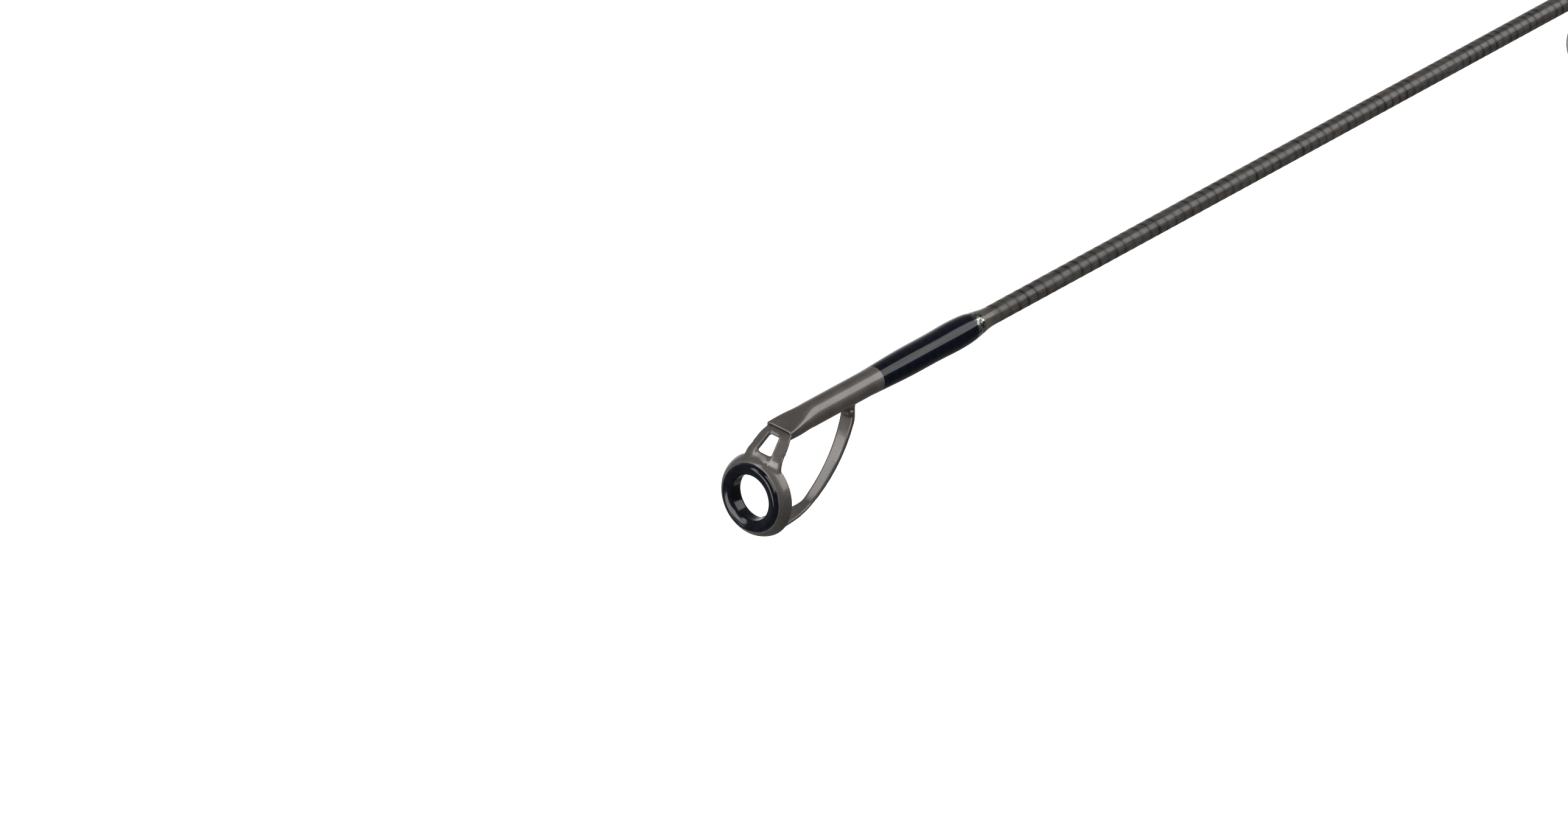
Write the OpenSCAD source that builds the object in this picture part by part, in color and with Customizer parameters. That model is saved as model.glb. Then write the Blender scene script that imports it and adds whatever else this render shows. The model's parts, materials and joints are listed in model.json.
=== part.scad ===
// Two-piece spinning rod. Millimetres, butt at the origin, tip along +X, guides and reel below (-Z).

/* [Blank] */
// Length from the butt to the mouth of the tip-top tube
rod_len = 1800; // [1700:10:2000]
// Length from the butt to the joint between the two sections
butt_len = 880; // [840:5:940]
// Diameter of the blank at its tip
tip_d = 1.68; // [1.6:0.01:1.7]
// Diameter of the blank at the end of its slow taper
knee_d = 2.6; // [2.4:0.1:2.9]
// Distance of that point behind the tip-top's mouth
knee_s = 310; // [290:5:330]
// Diameter of the tip section at the joint
joint_d = 5.3; // [5.2:0.1:6]
// Diameter of the butt section at the joint
butt_top_d = 5.6; // [5.5:0.1:6.2]
// Diameter of the blank inside the butt cap
butt_d = 9.6; // [9:0.1:11]
// Wall of the tip section
tip_wall = 0.6; // [0.5:0.05:0.65]
// Wall of the butt section
butt_wall = 0.9; // [0.8:0.05:1.2]
// Distance behind the mouth where the tip section turns solid
hollow_s = 420; // [350:10:600]

/* [Joint between the sections] */
// Diameter of the spigot
spigot_d = 3.9; // [3.6:0.05:4]
// Length of the spigot that is glued into the butt section
spigot_in = 62; // [50:1:80]
// Length of the spigot that enters the tip section
spigot_out = 56; // [45:1:70]
// Gap that stays open between the two sections
joint_gap = 4; // [2:0.5:8]
// Radial clearance of the spigot in the tip section
spigot_fit = 0.03; // [0.01:0.01:0.06]
// Length of the wrap that binds each end of the joint
joint_wrap_len = 34; // [26:1:45]
// Length of the bright trim band on such a wrap
joint_trim_len = 2.4; // [1.5:0.1:4]

/* [Butt cap and grips] */
// Length of the butt cap
cap_len = 15; // [12:0.5:22]
// Diameter of the butt cap
cap_d = 24.4; // [22:0.2:25]
// Depth of the blank in the butt cap
cap_depth = 10; // [6:0.5:11]
// Length of the rear grip
rear_grip_len = 108; // [90:1:160]
// Diameter of the rear grip's straight part
rear_grip_d = 25; // [25:0.2:28]
// Length of the rear grip's straight part
rear_grip_land = 62; // [50:1:70]
// Diameter of the rear grip's narrow front end
rear_grip_nose_d = 18; // [16:0.2:20]
// Length of each trim ring
check_len = 4; // [3:0.5:6]
// Height of a trim ring over the blank
check_h = 2.6; // [2:0.1:3.5]
// Bare blank between the rear grip and the reel seat
split_gap = 92; // [60:1:140]
// Length of the foam ring behind the reel seat
tail_ring_len = 12; // [8:0.5:18]
// Length of the fore grip
fore_grip_len = 46; // [35:1:70]
// Diameter of the fore grip's front end
fore_grip_nose_d = 14; // [13.5:0.2:16]

/* [Reel seat] */
// Length of the reel seat body
seat_len = 112; // [106:1:130]
// Diameter of the reel seat body over its thread
seat_d = 20; // [19.4:0.2:21]
// Bore of the reel seat body
seat_bore_d = 14.8; // [14:0.2:15]
// Distance of the reel foot's flat below the axis
seat_flat = 8.3; // [8.2:0.1:8.6]
// Length of each arbor between the blank and the body
arbor_len = 22; // [15:1:30]
// Outer diameter of both hoods
hood_d = 27.2; // [27:0.2:28.4]
// Distance of a hood's centre below the axis
hood_drop = 2.4; // [2.2:0.1:2.6]
// Wall of a hood
hood_wall = 1.2; // [1:0.1:1.4]
// Length of a hood
hood_len = 20; // [18:0.5:22]
// Depth of the pocket for the reel foot in a hood
pocket_len = 13; // [11:0.5:14]
// Travel of the sliding hood
hood_travel = 16; // [10:1:16]
// Outer diameter of the lock nut
nut_d = 25.4; // [24.6:0.2:26.4]
// Length of the lock nut without its neck
nut_len = 13; // [11:0.5:15]
// Length of the nut's neck in the sliding hood
nut_neck_len = 3; // [2:0.5:4]
// Number of grip flutes on the lock nut
nut_flutes = 18; // [12:1:24]
// Radius of a grip flute
flute_r = 1.6; // [1.2:0.1:1.8]

/* [Hook keeper] */
// Bare blank between the fore grip and the hook keeper
keeper_gap = 26; // [20:1:60]
// Wire of the hook keeper
keeper_wire_d = 1.1; // [0.9:0.05:1.3]
// Length of each keeper foot
keeper_foot_len = 9; // [8:0.5:12]
// Span of the keeper's loop
keeper_span = 8; // [7:0.5:10]

/* [Running guides] */
// Places of the tip section's guides, as parts of its length from the mouth
guide_at = [0.1467, 0.2717, 0.4217, 0.5957, 0.8065]; // each 0.1 to 0.9
// Distance of the butt section's guide behind the joint
butt_guide_gap = 78; // [74:1:120]
// Outer diameters of the ceramic rings, from the tip down
guide_ring_d = [6, 7, 8, 10, 16, 25]; // each 5 to 30
// Lean of the rings towards the tip, in degrees
guide_lean = 20; // [14:1:24]
// Sheet of the guide frames, on the smallest guide
guide_sheet = 0.5; // [0.4:0.05:0.6]
// Thread and resin over the guide feet
wrap_t = 0.4; // [0.3:0.05:0.5]

/* [Tip-top] */
// Wall of the tube
tube_wall = 0.23; // [0.2:0.01:0.28]
// Length of the tube
tube_len = 24.5; // [22:0.5:26]
// Length of the flattened end of the tube
crimp_len = 3.8; // [3.4:0.1:4.6]
// Wall of the flattened mouth
mouth_wall = 0.2; // [0.16:0.01:0.24]
// Width of the frame's tang in the mouth
tang_w = 2.16; // [2:0.02:2.3]
// Depth of the tang in the mouth
tang_len = 2.6; // [2:0.1:3]
// Sheet of the frame
sheet_t = 0.38; // [0.34:0.01:0.42]
// Outer diameter of the ceramic ring
tip_ring_d = 6; // [5.8:0.1:6.4]
// Hole of the ceramic ring
tip_hole_d = 3.98; // [3.8:0.02:4.1]
// Depth of the ceramic ring
tip_ring_t = 1.3; // [1.2:0.05:1.5]
// Distance of the ring's front face ahead of the mouth
ring_ahead = 3.15; // [3:0.05:3.4]
// Distance of the ring's centre below the tube's axis
ring_below = 5.05; // [4.9:0.05:5.2]
// Lean of the ring, in degrees
ring_lean = 5; // [3:1:8]
// Wall of the collar that holds the ring
collar_t = 0.24; // [0.22:0.01:0.3]
// Growth of the collar's radius towards the tube
collar_flare = 0.16; // [0.1:0.01:0.2]
// Depth of the collar
collar_len = 1.15; // [1:0.05:1.3]
// Width of each upper leg
leg_w = 0.86; // [0.8:0.02:0.9]
// Width of the brace under the tube
brace_w = 0.96; // [0.9:0.02:1.1]
// Distance of the brace's foot behind the mouth
brace_back = 9.3; // [9:0.1:9.5]
// Length of the brace's foot along the tube
brace_foot_len = 1.8; // [1.4:0.1:2]
// Length of the tongue from the collar back to the brace
tongue_len = 7; // [6.8:0.1:7.4]
// Depth of the tongue's end below the collar
tongue_sag = 0.6; // [0.5:0.05:0.7]
// Width of the tongue at the collar
tongue_w = 2.6; // [2.2:0.1:2.8]
// Thickness of the tongue at the collar
tongue_t = 0.6; // [0.5:0.05:0.7]

/* [Tip wrap] */
// Bare tube between the mouth and the black wrap
bare_tube = 12.8; // [12:0.1:13.4]
// Length of the black wrap
tip_wrap_len = 12.8; // [12.4:0.1:13.4]
// Largest diameter of the black wrap
tip_wrap_d = 2.7; // [2.6:0.02:2.8]
// Length of the silver trim band
band_len = 1.3; // [1:0.1:2]
// Length of the resin run-out on the blank
tail_len = 1.5; // [1.2:0.1:3]

/* [Hidden] */
$fn = 48;

// Glue line between bonded pieces, running clearance of the thread and air between moving faces
glue = 0.02;
thread_fit = 0.08;
air = 0.3;
// Length that a cutting tool runs past the face it cuts
past = 1;
// Height of a wrap's thin edge and length of the slope that leads up from it
wrap_edge = 0.06;
wrap_slope = 2.2;

// Places along the rod
grip_x = cap_len;
grip_check_x = grip_x + rear_grip_len;
tail_x = grip_check_x + check_len + split_gap;
seat_x = tail_x + tail_ring_len;
seat_end = seat_x + seat_len;
fore_check_x = seat_end + fore_grip_len;
keeper_x = fore_check_x + check_len + keeper_gap;
blank_x = cap_len - cap_depth;
butt_end = butt_len - joint_gap;
knee_x = rod_len - knee_s;
blank_tip_x = rod_len - crimp_len - glue;

function lerp(a, b, t) = a + (b - a) * t;
function between(x, x0, x1, a, b) = lerp(a, b, (x - x0) / (x1 - x0));
function butt_r(x) = between(x, blank_x, butt_end, butt_d, butt_top_d) / 2;
function tip_r(x) = x < knee_x
    ? between(x, butt_len, knee_x, joint_d, knee_d) / 2
    : between(x, knee_x, blank_tip_x, knee_d, tip_d) / 2;
function blank_r(x) = x < butt_end ? butt_r(x) : tip_r(x);
function bore_r(x) = blank_r(x) + glue;
// Points of a quarter round from p to q, bulging towards corner c
function bend(p, c, q, steps = 8) = [for (i = [0 : steps])
    let (t = i / steps) (1 - t) * (1 - t) * p + 2 * t * (1 - t) * c + t * t * q];
// Outline of a strip along a line of points, t thick at its start and t1 at its end
function side(pts, i, t) =
    let (a = pts[max(i - 1, 0)], b = pts[min(i + 1, len(pts) - 1)], d = (b - a) / norm(b - a))
    pts[i] + t / 2 * [-d.y, d.x];
function strip(pts, t, t1) =
    let (last = len(pts) - 1)
    concat([for (i = [0 : last]) side(pts, i, lerp(t, t1, i / last))],
        [for (i = [last : -1 : 0]) side(pts, i, -lerp(t, t1, i / last))]);

// Solid turned about the rod's axis from [x, radius] points
module turned(pts) {
    rotate([0, 90, 0]) rotate_extrude() polygon([for (p = pts) [p.y, p.x]]);
}

// Sleeve glued on the blank: an outline of [x, radius] points over the blank's own taper
module sleeve(outline) {
    x0 = outline[0].x;
    x1 = outline[len(outline) - 1].x;
    turned(concat(outline, [[x1, bore_r(x1)], [x0, bore_r(x0)]]));
}

// Outline of a thread wrap with sloped ends
function wrap_outline(x0, x1, t) = [
    [x0, blank_r(x0) + wrap_edge],
    [x0 + wrap_slope, blank_r(x0 + wrap_slope) + t],
    [x1 - wrap_slope, blank_r(x1 - wrap_slope) + t],
    [x1, blank_r(x1) + wrap_edge]];

// Butt, grips and trim

module butt_cap() {
    edge = cap_len / 3;
    color("#202123") difference() {
        turned(concat([[0, 0], [0, cap_d / 2 - edge]],
            bend([0, cap_d / 2 - edge], [0, cap_d / 2], [edge, cap_d / 2]),
            [[cap_len - glue, cap_d / 2], [cap_len - glue, 0]]));
        turned([[blank_x - glue, 0], [blank_x - glue, bore_r(blank_x)],
            [cap_len + past, bore_r(cap_len + past)], [cap_len + past, 0]]);
    }
}

module rear_grip() {
    land_end = grip_x + rear_grip_land;
    color("#2a2b2d") sleeve(concat(
        [[grip_x, rear_grip_d / 2]],
        bend([land_end, rear_grip_d / 2], [lerp(land_end, grip_check_x, 0.6), rear_grip_d / 2],
            [grip_check_x - glue, rear_grip_nose_d / 2])));
}

module check_ring(x0) {
    foot_r = blank_r(x0) + check_h;
    nose_r = blank_r(x0 + check_len) + check_h / 3;
    color("#8b8d90") sleeve(concat([[x0, foot_r - check_h / 4]],
        bend([x0 + check_len / 5, foot_r], [x0 + check_len * 0.7, foot_r], [x0 + check_len, nose_r])));
}

module rear_grip_check() { check_ring(grip_check_x); }
module fore_grip_check() { check_ring(fore_check_x); }

module butt_blank() {
    plug_x = butt_end - spigot_in;
    color("#3b3936") turned([
        [blank_x, butt_r(blank_x) - butt_wall], [blank_x, butt_r(blank_x)],
        [butt_end, butt_r(butt_end)], [butt_end, spigot_d / 2 + glue],
        [plug_x - glue, spigot_d / 2 + glue], [plug_x - glue, butt_r(plug_x) - butt_wall]]);
}

module tail_ring() {
    end_r = seat_d / 2;
    color("#2a2b2d") sleeve(concat(
        bend([tail_x, end_r * 0.72], [tail_x, end_r], [tail_x + tail_ring_len / 2, end_r]),
        [[seat_x - glue, end_r]]));
}

module fore_grip() {
    rear_r = seat_d / 2 + hood_wall;
    nose_r = fore_grip_nose_d / 2;
    color("#2a2b2d") sleeve(concat(
        [[seat_end + glue, rear_r]],
        bend([lerp(seat_end, fore_check_x, 0.15), rear_r], [lerp(seat_end, fore_check_x, 0.4), nose_r],
            [fore_check_x - glue, nose_r])));
}

// Reel seat: the body has a flat below for the reel's foot, and the foot's ends go under the two hoods

module arbor(x0) {
    color("#b9a987") sleeve([[x0, seat_bore_d / 2 - glue], [x0 + arbor_len, seat_bore_d / 2 - glue]]);
}

module rear_arbor() { arbor(seat_x); }
module front_arbor() { arbor(seat_end - arbor_len); }

// Cross-section of the body, a round with its lower side cut flat, grown by a clearance
module seat_section(grow = 0) {
    difference() {
        circle(d = seat_d + 2 * grow);
        translate([seat_flat + grow, -seat_d]) square([seat_d, 2 * seat_d]);
    }
}

module reel_seat_body() {
    color("#1d1e20") difference() {
        translate([seat_x, 0, 0]) rotate([0, 90, 0]) linear_extrude(seat_len) seat_section();
        translate([seat_x - past, 0, 0]) rotate([0, 90, 0])
            cylinder(d = seat_bore_d, h = seat_len + 2 * past);
    }
}

// A hood from its closed end at x = 0 to its open end at x = hood_len, round the body's section
module hood(clearance) {
    difference() {
        translate([0, 0, -hood_drop]) turned(concat(
            [[0, 0], [0, hood_d / 2 - hood_wall]],
            bend([0, hood_d / 2 - hood_wall], [0, hood_d / 2], [hood_wall * 2, hood_d / 2]),
            [[hood_len, hood_d / 2], [hood_len, 0]]));
        translate([-past, 0, 0]) rotate([0, 90, 0])
            linear_extrude(hood_len + 2 * past) seat_section(clearance);
        translate([hood_len - pocket_len, 0, 0]) intersection() {
            translate([0, 0, -hood_drop]) rotate([0, 90, 0])
                cylinder(d = hood_d - 2 * hood_wall, h = pocket_len + past);
            translate([-past, -hood_d, -2 * hood_d - seat_flat + clearance + glue])
                cube([pocket_len + 3 * past, 2 * hood_d, 2 * hood_d]);
        }
    }
}

module fixed_hood() {
    color("#2b2c2e") translate([seat_end, 0, 0]) mirror([1, 0, 0]) hood(glue);
}

sliding_x = seat_x + nut_len + air + nut_neck_len;

module sliding_hood() {
    color("#2b2c2e") difference() {
        translate([sliding_x, 0, 0]) hood(thread_fit);
        translate([sliding_x - past, 0, 0]) rotate([0, 90, 0])
            cylinder(d = nut_neck_d + 2 * air, h = nut_neck_len + air + past);
    }
}

nut_neck_d = seat_d + 2 * thread_fit + 2 * hood_wall * 0.6;

module lock_nut() {
    color("#77797c") difference() {
        union() {
            turned(concat(
                bend([seat_x, nut_d / 2 - hood_wall], [seat_x, nut_d / 2], [seat_x + hood_wall, nut_d / 2]),
                bend([seat_x + nut_len - hood_wall, nut_d / 2], [seat_x + nut_len, nut_d / 2],
                    [seat_x + nut_len, nut_d / 2 - hood_wall]),
                [[seat_x + nut_len, 0], [seat_x, 0]]));
            turned([[seat_x, 0], [seat_x, nut_neck_d / 2],
                [sliding_x + nut_neck_len, nut_neck_d / 2], [sliding_x + nut_neck_len, 0]]);
        }
        translate([seat_x - past, 0, 0]) rotate([0, 90, 0])
            cylinder(d = seat_d + 2 * thread_fit, h = nut_len + nut_neck_len + air + nut_neck_len + 2 * past);
        for (i = [0 : nut_flutes - 1])
            rotate([i * 360 / nut_flutes, 0, 0])
                translate([seat_x + hood_wall * 2, 0, nut_d / 2 + flute_r * 0.55]) rotate([0, 90, 0])
                    cylinder(r = flute_r, h = nut_len - hood_wall * 4);
    }
}

// Hook keeper: one bent wire, a foot at each end under a wrap and a half-round loop between

loop_x = keeper_x + keeper_foot_len;
keeper_end = loop_x + keeper_span + keeper_foot_len;
keeper_z = -(blank_r(keeper_x) + keeper_wire_d / 2 + glue);

module keeper_foot(x0, grow = 0) {
    translate([x0, 0, keeper_z]) rotate([0, 90, 0])
        cylinder(d = keeper_wire_d + 2 * grow, h = keeper_foot_len);
}

module hook_keeper() {
    color("#77797c") {
        keeper_foot(keeper_x);
        keeper_foot(loop_x + keeper_span);
        for (x = [loop_x, loop_x + keeper_span])
            translate([x, 0, keeper_z]) sphere(d = keeper_wire_d);
        translate([loop_x + keeper_span / 2, 0, keeper_z]) rotate([-90, 0, 0])
            rotate_extrude(angle = 180) translate([keeper_span / 2, 0]) circle(d = keeper_wire_d);
    }
}

// Wrap over something that lies below the blank: the sleeve, and the same sleeve lowered by its height
module saddle_wrap(x0, x1, height) {
    outline = wrap_outline(x0, x1, wrap_t);
    for (z = [0, -height])
        translate([0, 0, z]) turned(concat(outline, [[x1, 0], [x0, 0]]));
}

// The blank's own solid between two places, grown by the glue line
module blank_core(x0, x1) {
    turned([[x0, 0], [x0, bore_r(x0)], [x1, bore_r(x1)], [x1, 0]]);
}

module hook_keeper_wraps() {
    spans = [[keeper_x, loop_x - keeper_wire_d], [loop_x + keeper_span + keeper_wire_d, keeper_end]];
    color("#101218") for (span = spans)
        difference() {
            saddle_wrap(span[0], span[1], keeper_wire_d);
            blank_core(span[0] - past, span[1] + past);
            keeper_foot(keeper_x, glue);
            keeper_foot(loop_x + keeper_span, glue);
        }
}

// Joint between the sections: a spigot glued into the butt section, which the tip section slides over

module spigot() {
    nose = spigot_d / 4;
    x0 = butt_end - spigot_in;
    x1 = butt_len + spigot_out;
    color("#4a4743") turned([[x0, 0], [x0, spigot_d / 2], [x1 - nose, spigot_d / 2],
        [x1, spigot_d / 2 - nose / 2], [x1, 0]]);
}

module butt_joint_wrap() {
    x1 = butt_end - joint_trim_len - glue;
    color("#101218") sleeve(wrap_outline(butt_end - joint_wrap_len, x1, wrap_t));
}

module butt_joint_trim() {
    x0 = butt_end - joint_trim_len;
    x1 = butt_end - glue;
    color("#c9cdc4") sleeve([[x0, butt_r(x0) + wrap_edge * 2], [x1, butt_r(x1) + wrap_edge * 2]]);
}

module tip_joint_wrap() {
    x0 = butt_len + joint_trim_len + glue;
    color("#101218") sleeve(wrap_outline(x0, butt_len + joint_wrap_len, wrap_t));
}

module tip_joint_trim() {
    x1 = butt_len + joint_trim_len;
    color("#c9cdc4") sleeve([[butt_len, tip_r(butt_len) + wrap_edge * 2], [x1, tip_r(x1) + wrap_edge * 2]]);
}

module tip_blank() {
    socket_end = butt_len + spigot_out + joint_gap;
    hollow_x = rod_len - hollow_s;
    socket_r = spigot_d / 2 + spigot_fit;
    color("#4a4743") turned([
        [butt_len, socket_r], [butt_len, tip_r(butt_len)], [knee_x, tip_r(knee_x)],
        [blank_tip_x, tip_r(blank_tip_x)], [blank_tip_x, 0], [hollow_x, 0],
        [hollow_x, tip_r(hollow_x) - tip_wall], [socket_end, tip_r(socket_end) - tip_wall],
        [socket_end, socket_r]]);
}

// Running guides: a ceramic ring in a collar, on legs of bent sheet that rise towards the tip

ring_wall_base = 0.6;
ring_wall_rate = 0.068;
ring_depth_base = 0.7;
ring_depth_rate = 0.06;
stand_base = 1;
stand_rate = 0.42;
foot_half_base = 0.45;
foot_half_rate = 0.045;
foot_len_base = 7;
foot_len_rate = 0.55;
// Size from which a guide has a second foot ahead of its ring
double_from = 10;
smallest_ring = 6;
// Heights over a ring's centre, in parts of its collar, where the rear legs and the front strap end
leg_hold = 0.25;
strap_hold = 0.84;
// Sheet that a larger frame gains for each millimetre of ring
sheet_rate = 0.013;

function ring_r(i) = guide_ring_d[i] / 2;
function guide_x(i) = i < len(guide_at)
    ? lerp(rod_len, butt_len, guide_at[i])
    : butt_len - butt_guide_gap;
function guide_sheet_t(i) = guide_sheet + sheet_rate * (guide_ring_d[i] - smallest_ring);
function guide_hole_r(i) = ring_r(i) - ring_wall_base - ring_wall_rate * guide_ring_d[i];
function guide_depth(i) = ring_depth_base + ring_depth_rate * guide_ring_d[i];
function guide_collar_r(i) = ring_r(i) + glue + guide_sheet_t(i) * 0.8;
function guide_drop(i) = blank_r(guide_x(i)) + ring_r(i) + stand_base + stand_rate * guide_ring_d[i];
function foot_half(i) = foot_half_base + foot_half_rate * guide_ring_d[i];
function foot_len(i) = foot_len_base + foot_len_rate * guide_ring_d[i];
function rear_foot_x(i) = guide_x(i) - 0.55 * guide_drop(i);
function front_foot_x(i) = guide_x(i) + 0.3 * guide_drop(i);
function is_double(i) = guide_ring_d[i] >= double_from;

// Round-edged section of a ring, as [x, radius] points with corners of radius c
function ring_section(x0, x1, r0, r1, c) = concat(
    bend([x0, r0 + c], [x0, r0], [x0 + c, r0], 4),
    bend([x1 - c, r0], [x1, r0], [x1, r0 + c], 4),
    bend([x1, r1 - c], [x1, r1], [x1 - c, r1], 4),
    bend([x0 + c, r1], [x0, r1], [x0, r1 - c], 4));

// Places a shape in the frame of a leaning ring: its axis along x, its lowest point along -z
module leaning(x, drop, lean) {
    translate([x, 0, -drop]) rotate([0, -lean, 0]) children();
}

module guide_place(i) {
    leaning(guide_x(i), guide_drop(i), guide_lean) children();
}

// Flat sheet of thickness t from a point [x, z] towards another, its outline drawn as [along, across]
module plate(from, to, t) {
    pitch = atan2(to.y - from.y, to.x - from.x);
    translate([from.x, 0, from.y]) rotate([0, -pitch, 0])
        translate([0, 0, -t / 2]) linear_extrude(t) children();
}

// Foot along the underside of the blank, from its thick end at x0 to its thin end at x1
module guide_foot(i, x0, x1, grow = 0) {
    t = guide_sheet_t(i) + grow;
    half = foot_half(i) + grow;
    translate([0, half, 0]) rotate([90, 0, 0]) linear_extrude(2 * half)
        polygon([[x0, -blank_r(x0) / 2], [x0, -blank_r(x0) - t],
            [x1, -blank_r(x1) - t / 2], [x1, -blank_r(x1) / 2]]);
}

module guide_feet(i, grow = 0) {
    rear = rear_foot_x(i);
    front = front_foot_x(i);
    guide_foot(i, rear + grow, rear - foot_len(i) - grow, grow);
    if (is_double(i)) guide_foot(i, front - grow, front + foot_len(i) * 0.8 + grow, grow);
}

module guide_legs(i) {
    t = guide_sheet_t(i);
    centre = [guide_x(i), -guide_drop(i)];
    down = [sin(guide_lean), -cos(guide_lean)];
    half = foot_half(i);
    collar = guide_collar_r(i);
    rear = [rear_foot_x(i), -blank_r(rear_foot_x(i)) - t / 2];
    hold = centre - down * collar * leg_hold;
    reach = norm(hold - rear);
    spread = collar * sqrt(1 - leg_hold * leg_hold) - t / 8;
    leg = half * 1.1;
    plate(rear, hold, t) difference() {
        polygon([[0, half], [reach, spread], [reach, -spread], [0, -half]]);
        polygon([[half * 2, half / 4], [reach + past, spread - leg],
            [reach + past, leg - spread], [half * 2, -half / 4]]);
    }
    if (is_double(i)) {
        front = [front_foot_x(i), -blank_r(front_foot_x(i)) - t / 2];
        top = centre - down * collar * strap_hold;
        rise = norm(top - front);
        plate(front, top, t)
            polygon([[0, half], [rise, collar / 2], [rise, -collar / 2], [0, -half]]);
    }
}

module guide_frame(i) {
    depth = guide_depth(i);
    collar = guide_collar_r(i);
    color("#5f5b57") difference() {
        union() {
            guide_place(i)
                turned(ring_section(-depth / 2, depth / 2, ring_r(i) + glue, collar, guide_sheet_t(i) / 4));
            guide_legs(i);
            guide_feet(i);
        }
        guide_place(i) rotate([0, 90, 0]) cylinder(r = ring_r(i) + glue, h = 4 * depth, center = true);
        blank_core(rear_foot_x(i) - foot_len(i) - past, front_foot_x(i) + foot_len(i) + past);
    }
}

module guide_ring(i) {
    depth = guide_depth(i) * 1.1;
    wall = ring_r(i) - guide_hole_r(i);
    color("#14161b") guide_place(i)
        turned(ring_section(-depth / 2, depth / 2, guide_hole_r(i), ring_r(i), min(depth, wall) * 0.35));
}

module guide_wraps(i) {
    t = guide_sheet_t(i);
    lead = 2 * wrap_slope;
    rear = rear_foot_x(i) - t;
    front = front_foot_x(i) + t;
    spans = concat([[rear - foot_len(i) - lead, rear]],
        is_double(i) ? [[front, front + foot_len(i) * 0.8 + lead]] : []);
    color("#101218") for (span = spans)
        difference() {
            saddle_wrap(span[0], span[1], t);
            blank_core(span[0] - past, span[1] + past);
            guide_feet(i, glue);
        }
}

// Tip-top, in its own frame: the mouth of the tube at the origin, x towards the tip

tube_r = bore_r(rod_len - tube_len) + tube_wall;
collar_r = tip_ring_d / 2 + glue + collar_t;
tip_axis = [cos(ring_lean), sin(ring_lean)];
tip_down = [sin(ring_lean), -cos(ring_lean)];
tip_centre = [ring_ahead, -ring_below] - tip_axis * tip_ring_t / 2;
mouth_h = sheet_t + 2 * glue + 2 * mouth_wall;
mouth_w = tang_w + 2 * glue + 2 * mouth_wall;

module at_mouth() { translate([rod_len, 0, 0]) children(); }
module at_tip_ring() { at_mouth() leaning(tip_centre.x, -tip_centre.y, ring_lean) children(); }

// Corners of a slot w wide and h high, rounded by c, as a thin slice at x
module slot_slice(x, w, h, c) {
    translate([x, 0, 0]) rotate([0, 90, 0]) linear_extrude(glue)
        for (y = [-1, 1], z = [-1, 1]) translate([z * (h / 2 - c), y * (w / 2 - c)]) circle(r = c, $fn = 16);
}

// Loft from a round of radius r at the end of the crimp to a slot at the mouth
module crimp(r, w, h, c, x1) {
    hull() {
        translate([-crimp_len, 0, 0]) rotate([0, 90, 0]) cylinder(r = r, h = glue, $fn = 32);
        slot_slice(x1 - glue, w, h, c);
    }
}

module tip_top_tube() {
    color("#6b6762") at_mouth() {
        translate([-tube_len, 0, 0]) rotate([0, 90, 0]) difference() {
            cylinder(r = tube_r, h = tube_len - crimp_len + glue);
            translate([0, 0, -past]) cylinder(r = tube_r - tube_wall, h = tube_len + past);
        }
        difference() {
            crimp(tube_r, mouth_w, mouth_h, mouth_wall, 0);
            crimp(tube_r - tube_wall, tang_w + 2 * glue, sheet_t + 2 * glue, mouth_wall / 4, glue);
        }
    }
}

// Frame of the tip-top: a yoke of bent sheet with two legs, the collar, and a brace from it to the tube

yoke_bend = 0.25;
// Window between the legs, and half the span of the legs where they run into the collar
window_start = 0.12;
window_end = 1.9;
window_half = 0.84;
leg_reach = 0.5;
leg_half = 1.88;
brace_pad_h = 0.45;
// Height and setback of the corner that the brace's bow leans to, and lead of the tongue out of that bow
bow_at = 0.73;
bow_back = 0.8;
tongue_lead = 1.3;

// Sheet bent along a line of [x, z] points, w wide, t thick at its start and t1 at its end
module bent_sheet(pts, t, t1, w) {
    translate([0, w / 2, 0]) rotate([90, 0, 0]) linear_extrude(w) polygon(strip(pts, t, t1));
}

module yoke() {
    top = tip_centre - tip_down * (collar_r - collar_t / 2);
    corner = [yoke_bend, 0];
    slope = (top - corner) / norm(top - corner);
    end = top + slope * leg_reach;
    path = concat([[-tang_len, 0]], bend([-yoke_bend, 0], corner, corner + slope * 2 * yoke_bend), [end]);
    gap = tang_w / 2 - leg_w;
    wide = window_half;
    tang_end = tang_w * 0.4;
    intersection() {
        bent_sheet(path, sheet_t, sheet_t, 2 * tip_ring_d);
        translate([0, 0, -tip_ring_d]) linear_extrude(2 * tip_ring_d) difference() {
            polygon([[-tang_len, tang_end], [0, tang_w / 2], [end.x, leg_half], [2 * end.x, leg_half],
                [2 * end.x, -leg_half], [end.x, -leg_half], [0, -tang_w / 2], [-tang_len, -tang_end]]);
            polygon(concat([[window_start, gap]],
                bend([window_end - gap, wide], [window_end, wide], [window_end, wide - gap]),
                bend([window_end, gap - wide], [window_end, -wide], [window_end - gap, -wide]),
                [[window_start, -gap]]));
        }
    }
}

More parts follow.
